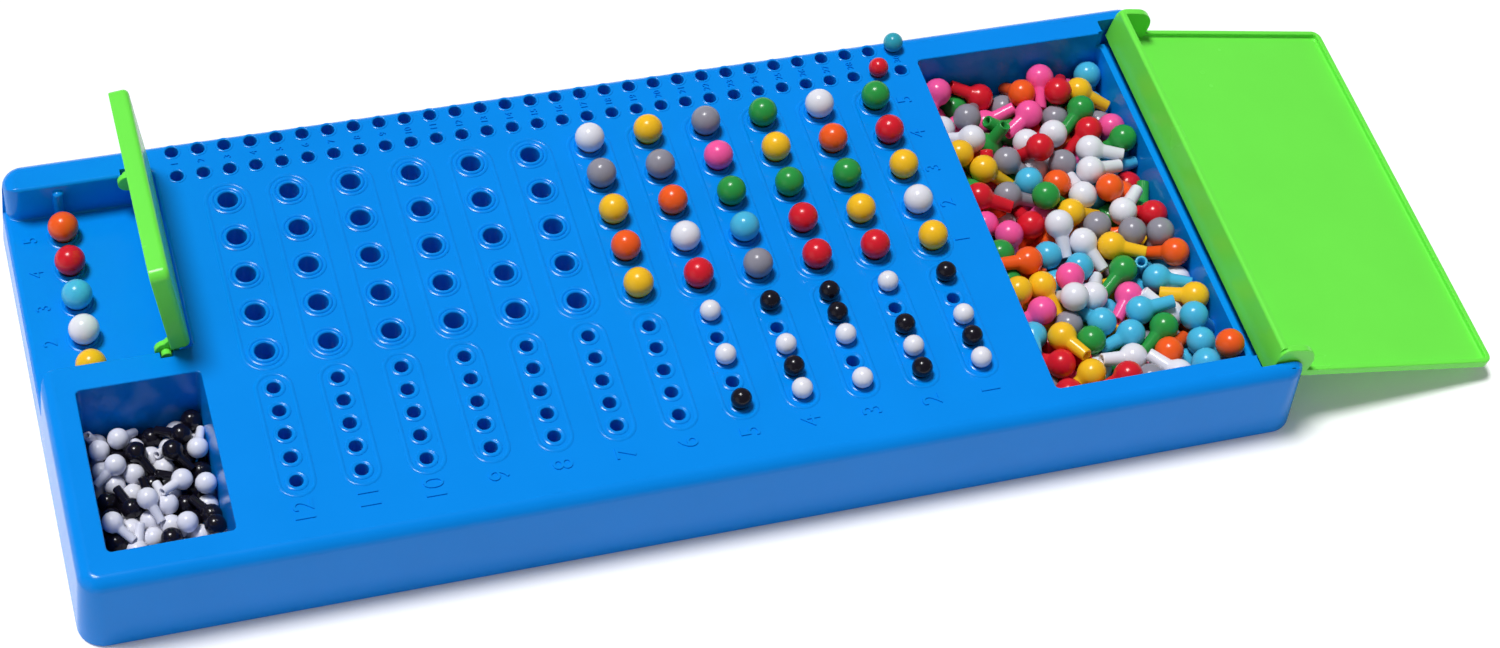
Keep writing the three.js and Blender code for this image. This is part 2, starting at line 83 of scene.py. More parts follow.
board = {
    "length": 355.0, "width": 149.0, "height": 27.5,
    "flare": 1.6, "corner": 6.0, "edgeRound": 3.8, "footRound": 0.7, "wall": 2.2, "deck": 2.2,
    "leastRound": 0.25,  # the smallest radius that a corner is drawn in to
    "overrun": 2.0,      # how far a cut goes on past the face that it opens
    "lift": 0.01,        # how far a pocket's flared lip stands clear of the deck
    "lap": 0.2,          # how far a bearing reaches into the space beside it
    "sharpEdge": 0.02,   # rim of a cut that looks sharp
    "cornerSteps": 10, "edgeSteps": 6, "creaseAngle": 34.0, "flatWeight": 60,
}
lowCorner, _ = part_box("game_board")
origin = np.array(lowCorner) + np.array([board["flare"], board["flare"], 0.0]) * mm


def meshPiece(name, points, corners, counts):
    # Points in millimetres, the corners of all faces in a row, and each face's corner count
    starts = np.concatenate([[0], np.cumsum(counts)[:-1]])
    mesh = bpy.data.meshes.new(name)
    mesh.vertices.add(len(points))
    mesh.vertices.foreach_set("co", (points * mm + origin).astype(np.float32).ravel())
    mesh.loops.add(len(corners))
    mesh.loops.foreach_set("vertex_index", corners.astype(np.int32))
    mesh.polygons.add(len(counts))
    mesh.polygons.foreach_set("loop_start", starts.astype(np.int32))
    mesh.update(calc_edges=True)
    mesh.validate()
    piece = bpy.data.objects.new(name, mesh)
    scene.collection.objects.link(piece)
    return piece


def makePiece(name, form):
    # A form is its points and its sets of faces, each set with one corner count
    points, faceSets = form
    corners = np.concatenate([faces.ravel() for faces in faceSets])
    counts = np.concatenate([np.full(len(faces), faces.shape[1]) for faces in faceSets])
    return meshPiece(name, points, corners, counts)


def smoothed(piece, creaseAngle=board["creaseAngle"]):
    # Soft shading with a crease wherever two faces meet at more than the angle
    mesh = piece.data
    mesh.polygons.foreach_set("use_smooth", np.ones(len(mesh.polygons), bool))
    mesh.set_sharp_from_angle(angle=math.radians(creaseAngle))
    mesh.update()
    return piece


def weighted(piece):
    # Normals follow the larger faces, so flat faces stay flat beside their round edges
    modifier = piece.modifiers.new("flats", "WEIGHTED_NORMAL")
    modifier.keep_sharp = True
    modifier.weight = board["flatWeight"]
    return piece


def coated(piece, slotName):
    # The one material of the piece, which has the name of its slot
    piece.data.materials.clear()
    piece.data.materials.append(materials[slotName])


def quarterTurn(steps):
    # Angles from level to upright, in radians
    return np.linspace(0, math.pi / 2, steps + 1)


def ringLoop(area, corner, inset, height, steps=None):
    # A rectangle whose corners are quarter circles, drawn in by inset, all at one height
    steps = steps or board["cornerSteps"]
    left, right, near, far = area
    radius = max(corner - inset, board["leastRound"])
    quarter = np.arange(4)[:, None]
    angle = (quarter + np.arange(steps + 1)[None, :] / steps) * math.pi / 2
    offset = inset + radius
    centreX = np.where((quarter == 0) | (quarter == 3), right - offset, left + offset)
    centreY = np.where(quarter < 2, far - offset, near + offset)
    x = centreX + radius * np.cos(angle)
    y = centreY + radius * np.sin(angle)
    return np.stack([x.ravel(), y.ravel(), np.full(x.size, float(height))], axis=1)


def bands(levels, count):
    # Quads between loops of equal count, first loop to last
    n = np.arange(count)
    row = np.arange(levels - 1)[:, None] * count
    a = row + n
    b = row + (n + 1) % count
    return np.stack([a, b, b + count, a + count], axis=-1).reshape(-1, 4)


def skin(loops):
    # Closed skin over a stack of loops: quads between them and one flat face at each end
    loops = np.asarray(loops)
    levels, count = loops.shape[:2]
    n = np.arange(count)
    ends = [n[::-1][None, :], ((levels - 1) * count + n)[None, :]]
    return loops.reshape(-1, 3), [bands(levels, count), *ends]


def turned(profile, sides):
    # A profile of radius and height turned about Z; its two ends lie on the axis
    profile = np.asarray(profile, float)
    angle = np.arange(sides) * 2 * math.pi / sides
    radius = profile[1:-1, :1]
    height = np.repeat(profile[1:-1, 1:], sides, axis=1)
    rings = np.stack([radius * np.cos(angle), radius * np.sin(angle), height], axis=-1)
    levels = len(rings)
    foot = levels * sides
    points = np.concatenate([
        rings.reshape(-1, 3), [[0, 0, profile[0, 1]], [0, 0, profile[-1, 1]]]])
    n = np.arange(sides)
    m = (n + 1) % sides
    last = (levels - 1) * sides
    fans = np.concatenate([
        np.stack([np.full(sides, foot), m, n], axis=1),
        np.stack([np.full(sides, foot + 1), last + n, last + m], axis=1)])
    return points, [bands(levels, sides), fans]


def copied(faceSets, copies, stride):
    # The faces of copies whose points follow each other, stride points to each copy
    shift = np.arange(copies)[:, None, None] * stride
    return [(faces[None] + shift).reshape(-1, faces.shape[1]) for faces in faceSets]


def spread(form, places):
    # One form repeated at every place
    points, faceSets = form
    places = np.asarray(places, float).reshape(-1, 3)
    spots = (points[None] + places[:, None]).reshape(-1, 3)
    return spots, copied(faceSets, len(places), len(points))


def gathered(forms):
    # Several forms as one
    points = []
    faceSets = []
    start = 0
    for formPoints, formFaces in forms:
        points.append(formPoints)
        faceSets.extend(faces + start for faces in formFaces)
        start += len(formPoints)
    return np.concatenate(points), faceSets


def arc(centreX, centreY, radius, start, end, steps):
    # Points on a circle from one angle to another, in degrees
    angle = np.radians(np.linspace(start, end, steps + 1))
    return np.stack([centreX + radius * np.cos(angle), centreY + radius * np.sin(angle)], axis=1)


def drawnIn(outline, inset):
    # An anticlockwise outline moved inwards along the mean normals of its corners
    ahead = np.roll(outline, -1, axis=0) - outline
    ahead /= np.linalg.norm(ahead, axis=1, keepdims=True)
    behind = np.roll(ahead, 1, axis=0)
    normal = np.stack([-ahead[:, 1], ahead[:, 0]], axis=1)
    normal += np.stack([-behind[:, 1], behind[:, 0]], axis=1)
    normal /= np.sum(normal * normal, axis=1, keepdims=True) / 2
    return outline + normal * inset


def extruded(outline, near, far, edge=0.3, steps=3):
    # An outline in the XZ plane carried along Y, its two rims rounded by edge
    turn = quarterTurn(steps)
    insets = np.concatenate([edge * (1 - np.sin(turn)), edge * (1 - np.cos(turn))])
    along = np.concatenate([near + edge * (1 - np.cos(turn)), far - edge * (1 - np.sin(turn))])
    loops = []
    for inset, y in zip(insets, along):
        flat = drawnIn(outline, inset)
        loops.append(np.stack([flat[:, 0], np.full(len(flat), y), flat[:, 1]], axis=1))
    points, faceSets = skin(loops)
    return points, [faces[:, ::-1] for faces in faceSets]


def rod(x, z, near, far, radius, sides=24, edge=0.3):
    # A round pin along Y with rounded ends
    angle = np.arange(sides) * 2 * math.pi / sides
    outline = np.stack([x + radius * np.cos(angle), z + radius * np.sin(angle)], axis=1)
    return extruded(outline, near, far, edge)


def slab(left, right, near, far, low, high, corner=0.5, top=0.3, steps=4):
    # A block with round upright corners and a rounded upper rim
    area = (left, right, near, far)
    loops = [ringLoop(area, corner, 0, low, steps)]
    loops += [ringLoop(area, corner, top * (1 - math.cos(a)), high - top + top * math.sin(a), steps)
              for a in quarterTurn(steps - 1)]
    return skin(loops)


def moved(form, turnDegrees, place):
    # A form turned about Y and then carried to its place
    points, faceSets = form
    angle = math.radians(turnDegrees)
    x, y, z = points.T
    turnedPoints = np.stack([
        x * math.cos(angle) + z * math.sin(angle), y,
        z * math.cos(angle) - x * math.sin(angle)], axis=1)
    return turnedPoints + np.asarray(place, float), faceSets


def fused(name, base, steps):
    # The base with each form joined to it or cut from it in turn, as one closed solid
    piece = makePiece(name, base)
    tools = []
    for number, (operation, form) in enumerate(steps):
        tool = makePiece(f"{name}_step{number}", form)
        modifier = piece.modifiers.new(f"step{number}", "BOOLEAN")
        modifier.operation = operation
        modifier.solver = "MANIFOLD"
        modifier.object = tool
        tools.append(tool)
    bpy.context.view_layer.update()
    graph = bpy.context.evaluated_depsgraph_get()
    finished = bpy.data.meshes.new_from_object(piece.evaluated_get(graph))
    piece.modifiers.clear()
    old = piece.data
    piece.data = finished
    finished.name = name
    bpy.data.meshes.remove(old)
    for tool in tools:
        mesh = tool.data
        bpy.data.objects.remove(tool)
        bpy.data.meshes.remove(mesh)
    print(name, "has", len(finished.polygons), "faces")
    return piece


# Board

bay = {
    "right": 42.8, "near": 73.3, "far": 138.2, "floor": 14.2, "mouth": -4.0,
    "endRound": 4.8, "corner": 1.6, "lip": 1.0, "footRound": 0.6, "caseLeft": 0.5,
    # the roll of the floor over the left end, and the cut that makes it
    "rollRound": 1.8, "rollReach": 3.0, "rollRise": 0.4, "rollShare": 0.8, "rollEdge": 0.01,
    "postX": 15.0, "postRadius": 1.6, "postTop": 25.0, "postDome": 0.6, "postSink": 1.0,
    "postSides": 24,
}
trays = {
    "key": (8.7, 43.2, 10.3, 64.3), "code": (278.7, 341.5, 9.1, 138.2),
    "corner": 1.5, "taper": 1.2, "floor": 3.5, "floorLow": 1.5, "floorRound": 1.0, "lip": 0.45,
}
holes = {
    "columns": 12, "rows": 5, "firstX": 61.7, "columnPitch": 18.0,
    "codeY": 123.3, "codePitch": 14.0, "keyY": 54.4, "keyPitch": 8.0,
    "trackX": 49.1, "trackPitch": 7.7, "trackCount": 30, "trackNear": 135.2, "trackFar": 144.4,
    "secretX": 15.0, "secretY": 130.2, "secretPitch": 12.7,
    # sleeves below the deck, and how far the cut of a bore goes past both ends of the hole
    "sleeveEdge": 0.3, "sleeveTop": -1.4, "boreBelow": 1.0, "boreAbove": 1.5, "rimLift": 0.005,
}
# A ring is the radius and height of the moulding round a hole, from outside in
holeKinds = {
    "code": {
        "ring": [(5.2, -0.3), (5.18, 0.0), (5.1, 0.16), (4.72, 0.31), (4.6, 0.33), (4.5, 0.3),
                 (4.22, 0.19), (4.14, 0.06), (4.04, 0.06), (3.96, 0.24), (3.88, 0.34),
                 (3.52, 0.48), (3.42, 0.5)],
        "rise": 0.5, "bore": 2.85, "boreEdge": 0.55, "sleeve": 3.9, "depth": 8.0, "sides": 36},
    "key": {
        "ring": [(3.35, -0.3), (3.33, 0.0), (3.27, 0.14), (2.88, 0.3), (2.76, 0.32), (2.66, 0.3),
                 (2.44, 0.22), (2.36, 0.22)],
        "rise": 0.22, "bore": 1.9, "boreEdge": 0.4, "sleeve": 2.8, "depth": 6.0, "sides": 26},
    "track": {
        "ring": [(2.75, -0.3), (2.73, 0.0), (2.68, 0.1), (2.46, 0.19), (2.36, 0.2)],
        "rise": 0.2, "bore": 1.9, "boreEdge": 0.4, "sleeve": 2.8, "depth": 6.0, "sides": 26},
}
ridges = {
    "codeHalf": 6.2, "keyHalf": 4.9, "halfWidth": 0.65, "height": 0.25, "sink": 0.3,
    "turnSteps": 14, "sectionSteps": 6,
}
ribs = {"half": 0.8, "depth": 8.0, "sink": 1.0, "endGap": 1.0, "corner": 0.3}


def shellForms():
    # Outer skin: straight drafted sides, quarter circle into the deck; hollow inside the wall
    area = (0.0, board["length"], 0.0, board["width"])
    height, edge, foot = board["height"], board["edgeRound"], board["footRound"]

    def flareAt(z):
        # How far the drafted wall leans out at a height, from none at the deck
        return board["flare"] * (1 - z / height)

    outer = [ringLoop(area, board["corner"], foot * (1 - math.sin(a)) - flareAt(0),
                      foot * (1 - math.cos(a))) for a in quarterTurn(3)]
    for a in quarterTurn(board["edgeSteps"]):
        z = height - edge + edge * math.sin(a)
        outer.append(ringLoop(area, board["corner"], edge * (1 - math.cos(a)) - flareAt(z), z))
    under = height - board["deck"]
    hollow = [ringLoop(area, board["corner"], board["wall"] - flareAt(z), z)
              for z in (-board["overrun"], under)]
    return skin(outer), skin(hollow)


def grown(area, by):
    # A rectangle with its four sides moved outwards
    left, right, near, far = area
    return (left - by, right + by, near - by, far + by)


def trayForms(area):
    # Walls that stand round the pocket, and the pocket with a round foot and a flared lip
    corner, taper, lip = trays["corner"], trays["taper"], trays["lip"]
    wall, height = board["wall"], board["height"]
    walls = [ringLoop(grown(area, wall), corner + wall, taper, trays["floorLow"]),
             ringLoop(grown(area, wall), corner + wall, 0, height - board["deck"] / 2)]
    foot, floor = trays["floorRound"], trays["floor"]
    turn = quarterTurn(4)
    pocket = [ringLoop(area, corner, taper + foot * (1 - math.sin(a)),
                       floor + foot * (1 - math.cos(a))) for a in turn]
    pocket += [ringLoop(area, corner, -lip * (1 - math.cos(a)), height - lip + lip * math.sin(a))
               for a in turn]
    pocket[-1][:, 2] += board["lift"]
    pocket.append(ringLoop(area, corner, -lip, height + board["overrun"]))
    return skin(walls), skin(pocket)


def bayLoop(offset, height):
    # The bay's outline: round inner corners, and rims that end in an arc at the open end
    end, corner, near, far = bay["endRound"], bay["corner"], bay["near"], bay["far"]
    right, mouth = bay["right"], bay["mouth"]
    parts = [
        np.array([[mouth, near - end]]),
        arc(end, near - end, end - offset, 180, 90, 10),
        arc(right - corner, near + corner, corner + offset, -90, 0, 6),
        arc(right - corner, far - corner, corner + offset, 0, 90, 6),
        arc(end, far + end, end - offset, 270, 180, 10),
        np.array([[mouth, far + end]]),
    ]
    flat = np.concatenate(parts)
    return np.column_stack([flat, np.full(len(flat), float(height))])


def bayForms():
    # The pocket from its floor up to a flared lip, and the roll of the floor over the left end
    near, far, floor, end = bay["near"], bay["far"], bay["floor"], bay["endRound"]
    lip, foot, wall, height = bay["lip"], bay["footRound"], board["wall"], board["height"]
    turn = quarterTurn(5)
    pocket = [bayLoop(-foot * (1 - math.sin(a)), floor + foot * (1 - math.cos(a))) for a in turn]
    pocket += [bayLoop(lip * (1 - math.cos(a)), height - lip + lip * math.sin(a)) for a in turn]
    pocket[-1][:, 2] += board["lift"]
    pocket.append(bayLoop(lip, height + board["overrun"]))
    low = bay["rollRound"]
    edgeX = -board["flare"] * (1 - floor / height)
    outside, above = edgeX - bay["rollReach"], floor + bay["rollRise"]
    roll = np.concatenate([
        arc(edgeX + low, floor - low, low, 100, 180, 8),
        [[outside, floor - low], [outside, above], [edgeX + low * bay["rollShare"], above]]])[::-1]
    case = slab(bay["caseLeft"], bay["right"] + wall, near - wall, far + wall,
                floor - board["deck"], height - board["deck"] / 2)
    return case, skin(pocket), extruded(roll, near - end, far + end, edge=bay["rollEdge"])


def postForms():
    # Round posts with a domed top, each half sunk in a side wall of the bay
    radius, top, foot = bay["postRadius"], bay["postTop"], bay["floor"] - bay["postSink"]
    dome = [(radius * math.cos(a), top - radius * bay["postDome"] * (1 - math.sin(a)))
            for a in quarterTurn(5)]
    post = turned([(0, foot), (radius, foot), *dome[:-1], (0, top)], bay["postSides"])
    return spread(post, [(bay["postX"], y, 0) for y in (bay["near"], bay["far"])])


def hingeForms():
    # The solid ends of the rims round the lid's hinge, and what is cut away for the lid
    wall, length, height = board["wall"], board["length"], board["height"]
    sweep = lid["skirtRound"] + math.hypot(
        lid["skirtReach"] - lid["skirtRound"], lid["skirtDrop"] - lid["skirtRound"])
    clear = sweep + lid["gap"]
    floor = lid["axisZ"] - clear
    near = lid["middleY"] - lid["half"] - lid["notchGap"]
    far = lid["middleY"] + lid["half"] + lid["notchGap"]
    axisDrop = height - lid["axisZ"]
    notchLeft = lid["axisX"] - math.hypot(lid["cheekReach"], axisDrop) - lid["gap"] * 2
    _, trayRight, trayNear, trayFar = trays["code"]
    wellLeft = trayRight + lid["endWall"]
    wallTop = lid["axisZ"] - math.sqrt(clear ** 2 - (lid["axisX"] - wellLeft) ** 2)
    end, top = length + lid["cutPast"], height + board["overrun"]
    innerNear, innerFar = trayNear - lid["wallGap"], trayFar + lid["wallGap"]
    case = slab(notchLeft - wall, length - wall, near - wall, far + wall, floor - wall,
                height - board["deck"] / 2)
    well = slab(wellLeft, end, near, far, floor, top)
    lowWall = slab(trayRight - lid["wallLap"], wellLeft + lid["wallLap"], innerNear, innerFar,
                   wallTop, top)
    notches = gathered([slab(notchLeft, end, near, innerNear, floor, top),
                        slab(notchLeft, end, innerFar, far, floor, top)])
    reach, radius, lap = lid["pinLength"] + lid["gap"], lid["pinRadius"] + lid["gap"], board["lap"]
    bearings = gathered([
        rod(lid["axisX"], lid["axisZ"], *ends, radius, edge=board["sharpEdge"])
        for ends in ((near - reach, near + lap), (far - lap, far + reach))])
    return case, well, lowWall, notches, bearings


def flapBearings():
    # Two notches with a round foot, open at the top, that hold the flap's pins
    radius = flap["pinRadius"] + flap["pinGap"]
    depth, lap = board["wall"] + flap["pinGap"], board["lap"]
    top = board["height"] + board["overrun"]
    notch = np.concatenate([
        arc(flap["axisX"], flap["axisZ"], radius, 180, 360, 12),
        [[flap["axisX"] + radius, top], [flap["axisX"] - radius, top]]])
    return gathered([extruded(notch, *ends, edge=board["sharpEdge"]) for ends in (
        (bay["near"] - depth, bay["near"] + lap), (bay["far"] - lap, bay["far"] + depth))])


def holePlaces():
    # The middle of every hole at the level of its surface; the bay's holes are code holes too
    column = holes["firstX"] + np.arange(holes["columns"]) * holes["columnPitch"]
    row = np.arange(holes["rows"])
    track = holes["trackX"] + np.arange(holes["trackCount"]) * holes["trackPitch"]

    def field(xs, ys, z=board["height"]):
        # Every x with every y, at one level
        x, y = np.meshgrid(xs, ys, indexing="ij")
        return np.stack([x.ravel(), y.ravel(), np.full(x.size, z)], axis=1)

    return {
        "code": np.concatenate([
            field(column, holes["codeY"] - row * holes["codePitch"]),
            field([holes["secretX"]], holes["secretY"] - row * holes["secretPitch"],
                  bay["floor"])]),
        "key": field(column, holes["keyY"] - row * holes["keyPitch"]),
        "track": field(track, [holes["trackNear"], holes["trackFar"]]),
    }


def bossForm(kind):
    # The moulded ring round a hole and the sleeve below the deck, still without its bore
    radius, depth, edge, ring = kind["sleeve"], kind["depth"], holes["sleeveEdge"], kind["ring"]
    return turned([(0, -depth), (radius - edge, -depth), (radius, -depth + edge),
                   (radius, holes["sleeveTop"]), *ring, (0, ring[-1][1])], kind["sides"])


def boreForm(kind):
    # A straight bore whose upper rim opens in a quarter circle
    radius, edge, rise = kind["bore"], kind["boreEdge"], kind["rise"]
    low, high = -kind["depth"] - holes["boreBelow"], rise + holes["boreAbove"]
    rim = [(radius + edge * (1 - math.cos(a)), rise - edge + edge * math.sin(a))
           for a in quarterTurn(3)]
    rim[-1] = (rim[-1][0], rim[-1][1] + holes["rimLift"])
    return turned([(0, low), (radius, low), *rim, (radius + edge, high), (0, high)],
                  kind["sides"])


def ridgeForm(x, near, far, half):
    # A low rounded ridge whose section is carried round a long path with half round ends
    steps = ridges["turnSteps"]
    path = np.concatenate([arc(x, far, half, 0, 180, steps), arc(x, near, half, 180, 360, steps)])
    centre = np.concatenate([np.tile([x, far], (steps + 1, 1)), np.tile([x, near], (steps + 1, 1))])
    outward = (path - centre) / half
    turn = np.linspace(0, math.pi, ridges["sectionSteps"] + 1)
    across = np.concatenate([ridges["halfWidth"] * np.cos(turn),
                             [-ridges["halfWidth"], ridges["halfWidth"]]])
    up = np.concatenate([ridges["height"] * np.sin(turn) ** 2,
                         [-ridges["sink"], -ridges["sink"]]])
    section = len(across)
    flat = path[:, None, :] + outward[:, None, :] * across[None, :, None]
    high = np.broadcast_to(board["height"] + up, flat.shape[:2])
    points = np.concatenate([flat, high[..., None]], axis=-1).reshape(-1, 3)
    along = np.arange(len(path))[:, None] * section
    ahead = (np.arange(len(path))[:, None] + 1) % len(path) * section
    n = np.arange(section)[None, :]
    m = (n + 1) % section
    faces = np.stack([along + n, ahead + n, ahead + m, along + m], axis=-1)
    return points, [faces.reshape(-1, 4)]


def ridgeForms():
    # One ridge round the code holes of each column, and one round its key holes
    lastRow = holes["rows"] - 1
    forms = []
    for number in range(holes["columns"]):
        x = holes["firstX"] + number * holes["columnPitch"]
        for kind in ("code", "key"):
            far = holes[f"{kind}Y"]
            near = far - lastRow * holes[f"{kind}Pitch"]
            forms.append(ridgeForm(x, near, far, ridges[f"{kind}Half"]))
    return gathered(forms)


def ribForms():
    # Two straight ribs under the deck, drawn as slabs and turned over
    under = board["height"] - board["deck"]
    half, lastRow = ribs["half"], holes["rows"] - 1
    left, right = bay["right"] + ribs["endGap"], trays["code"][0] - ribs["endGap"]
    forms = []
    for y in ((holes["codeY"] - lastRow * holes["codePitch"] + holes["keyY"]) / 2,
              (holes["codeY"] + holes["trackNear"]) / 2):
        points, faceSets = slab(left, right, y - half, y + half, -(under + ribs["sink"]),
                                -(under - ribs["depth"]), corner=ribs["corner"])
        forms.append((points * np.array([1, 1, -1]), [faces[:, ::-1] for faces in faceSets]))
    return gathered(forms)


def makeBoard():
    # The shell gets its pocket walls and ribs, then its cuts, then what is moulded on the
    # deck; the bores come last, because they go through the rings and sleeves
    outer, hollow = shellForms()
    codeWalls, codePocket = trayForms(trays["code"])
    keyWalls, keyPocket = trayForms(trays["key"])
    bayCase, bayPocket, bayRoll = bayForms()
    case, well, lowWall, notches, bearings = hingeForms()
    places = holePlaces()
    piece = fused("board_shell", outer, [
        ("DIFFERENCE", hollow),
        ("UNION", gathered([codeWalls, keyWalls, bayCase])),
        ("UNION", gathered([case, ribForms()])),
        ("DIFFERENCE", gathered([codePocket, keyPocket, bayPocket])),
        ("DIFFERENCE", bayRoll),
        ("DIFFERENCE", well),
        ("DIFFERENCE", lowWall),
        ("DIFFERENCE", notches),
        ("DIFFERENCE", gathered([bearings, flapBearings()])),
        ("UNION", postForms()),
        ("UNION", ridgeForms()),
        ("UNION", gathered([spread(bossForm(holeKinds[k]), places[k]) for k in holeKinds])),
        ("DIFFERENCE", gathered([spread(boreForm(holeKinds[k]), places[k]) for k in holeKinds])),
    ])
    weighted(smoothed(piece))
    coated(piece, "board_blue")
    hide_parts("game_board")
    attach(piece, "board")


# Raised numbers

numbers = {
    "columnSize": 8.2, "columnY": 12.8, "rowSize": 6.6, "rowX": 269.5,
    "trackSize": 2.9, "trackY": 139.8, "secretSize": 5.6, "secretX": 5.2,
    "rise": 0.36, "sink": 0.15, "curveSteps": 3,
}


def numberSpots():
    # Text, size, middle and level of every number
    spots = []
    for number in range(holes["columns"]):
        x = holes["firstX"] + number * holes["columnPitch"]
        spots.append((str(holes["columns"] - number), numbers["columnSize"], x,
                      numbers["columnY"], board["height"]))
    for row in range(holes["rows"]):
        y = holes["codeY"] - row * holes["codePitch"]
        spots.append((str(holes["rows"] - row), numbers["rowSize"], numbers["rowX"], y,
                      board["height"]))
        y = holes["secretY"] - row * holes["secretPitch"]
        spots.append((str(holes["rows"] - row), numbers["secretSize"], numbers["secretX"], y,
                      bay["floor"]))
    for number in range(holes["trackCount"]):
        spots.append((str(number + 1), numbers["trackSize"],
                      holes["trackX"] + number * holes["trackPitch"], numbers["trackY"],
                      board["height"]))
    return spots


def textMesh(text, size):
    # Raised text as points, the corners of its faces in a row, and each face's corner count
    curve = bpy.data.curves.new("number", "FONT")
    curve.body = text
    curve.size = size
    curve.align_x = "CENTER"
    curve.align_y = "CENTER"
    curve.resolution_u = numbers["curveSteps"]
    curve.extrude = (numbers["rise"] + numbers["sink"]) / 2
    holder = bpy.data.objects.new("number", curve)
    scene.collection.objects.link(holder)
    bpy.context.view_layer.update()
    graph = bpy.context.evaluated_depsgraph_get()
    mesh = bpy.data.meshes.new_from_object(holder.evaluated_get(graph))
    points = np.empty(len(mesh.vertices) * 3)
    mesh.vertices.foreach_get("co", points)
    corners = np.empty(len(mesh.loops), np.int32)
    mesh.loops.foreach_get("vertex_index", corners)
    counts = np.empty(len(mesh.polygons), np.int32)
    mesh.polygons.foreach_get("loop_total", counts)
    bpy.data.objects.remove(holder)
    bpy.data.curves.remove(curve)
    bpy.data.meshes.remove(mesh)
    return points.reshape(-1, 3), corners, counts


def makeNumbers():
    # Each number is turned to read along Y and let into its surface; all are one piece
    rows = []
    start = 0
    for text, size, x, y, level in numberSpots():
        points, corners, counts = textMesh(text, size)
        across, along, up = (points - (points.min(axis=0) + points.max(axis=0)) / 2).T
        lift = level + (numbers["rise"] - numbers["sink"]) / 2
        rows.append((np.stack([x - along, y + across, lift + up], axis=1), corners + start, counts))
        start += len(points)
    piece = meshPiece("board_numbers", *(np.concatenate(parts) for parts in zip(*rows)))
    coated(smoothed(piece), "board_blue")
    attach(piece, "board")


# Flap and lid

flap = {
    "axisX": 35.2, "axisZ": 26.3, "angle": 82.0,
    "reach": 36.5, "heel": 1.2, "near": -34.45, "far": 35.25, "halfSpan": 32.45,
    "rise": 1.6, "top": 7.2, "plate": 1.8, "wall": 1.6, "corner": 3.0, "edge": 1.6,
    "innerRound": 0.6, "rimRound": 0.35,
    "earRadius": 3.1, "earThickness": 1.8, "earGap": 0.5, "earFoot": 8.0,
    "pinRadius": 1.5, "pinLength": 2.0, "pinRoot": 0.9, "pinGap": 0.4,
}
lid = {
    "axisX": 350.2, "axisZ": 25.1, "angle": 191.628, "middleY": 73.65,
    "reach": 75.0, "half": 69.15, "rise": 2.7, "top": 5.7, "plate": 1.4, "wall": 1.6,
    "corner": 3.0, "edge": 0.7, "innerRound": 0.6, "rimRound": 0.35,
    "skirtReach": 4.6, "skirtDrop": 6.8, "skirtWall": 2.0, "skirtRound": 1.0,
    "skirtBevel": 0.4, "skirtKnee": 0.12, "skirtEdge": 0.05,
    "cheekReach": 8.2, "cheekWall": 2.2, "cheekRound": 6.0, "heelRound": 3.0,
    "pinRadius": 1.5, "pinLength": 1.6, "gap": 0.4,
    # the well and notches in the board, in which the skirt and cheeks turn
    "notchGap": 0.6, "endWall": 1.5, "wallGap": 0.8, "wallLap": 2.0, "cutPast": 5.0,
}


def hoodForm(area, cover):
    # A shallow hood as one closed skin: inside from the ceiling down, round the rim, up outside
    corner, wall, rise, top = cover["corner"], cover["wall"], cover["rise"], cover["top"]
    ceiling, inner, rim = top - cover["plate"], cover["innerRound"], cover["rimRound"]
    edge, turn = cover["edge"], quarterTurn(4)
    loops = [ringLoop(area, corner, wall + inner * (1 - math.sin(a)),
                      ceiling - inner * (1 - math.cos(a))) for a in turn]
    loops += [ringLoop(area, corner, wall - rim + rim * math.cos(a), rise + rim - rim * math.sin(a))
              for a in quarterTurn(3)]
    loops += [ringLoop(area, corner, rim - rim * math.sin(a), rise + rim - rim * math.cos(a))
              for a in turn]
    loops += [ringLoop(area, corner, edge * (1 - math.cos(a)), top - edge + edge * math.sin(a))
              for a in turn]
    return skin(loops)


def makeFlap():
    # A hood with an ear and a pin at each end of its heel, drawn flat round the axis and
    # then turned up
    area = (-flap["reach"], -flap["heel"], flap["near"], flap["far"])
    hood = hoodForm(area, flap)
    foot = flap["top"] - flap["plate"] / 2
    ear = np.concatenate([
        [[-flap["earFoot"], foot]],
        arc(0, 0, flap["earRadius"], 180, 360, 24),
        [[flap["earRadius"], flap["rise"]], [-flap["heel"] - flap["wall"] / 2, foot]]])
    at = flap["halfSpan"] - flap["earGap"]
    root, reach = at - flap["pinRoot"], at + flap["pinLength"]
    ears = gathered([extruded(ear, -at, -at + flap["earThickness"]),
                     extruded(ear, at - flap["earThickness"], at)])
    pins = gathered([rod(0, 0, -reach, -root, flap["pinRadius"]),
                     rod(0, 0, root, reach, flap["pinRadius"])])
    place = (flap["axisX"], (bay["near"] + bay["far"]) / 2, flap["axisZ"])
    base, ears, pins = (moved(form, flap["angle"], place) for form in (hood, ears, pins))
    piece = fused("code_flap", base, [("UNION", ears), ("UNION", pins)])
    weighted(smoothed(piece))
    coated(piece, "cover_green")
    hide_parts("secret_flap")
    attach(piece, "flap")


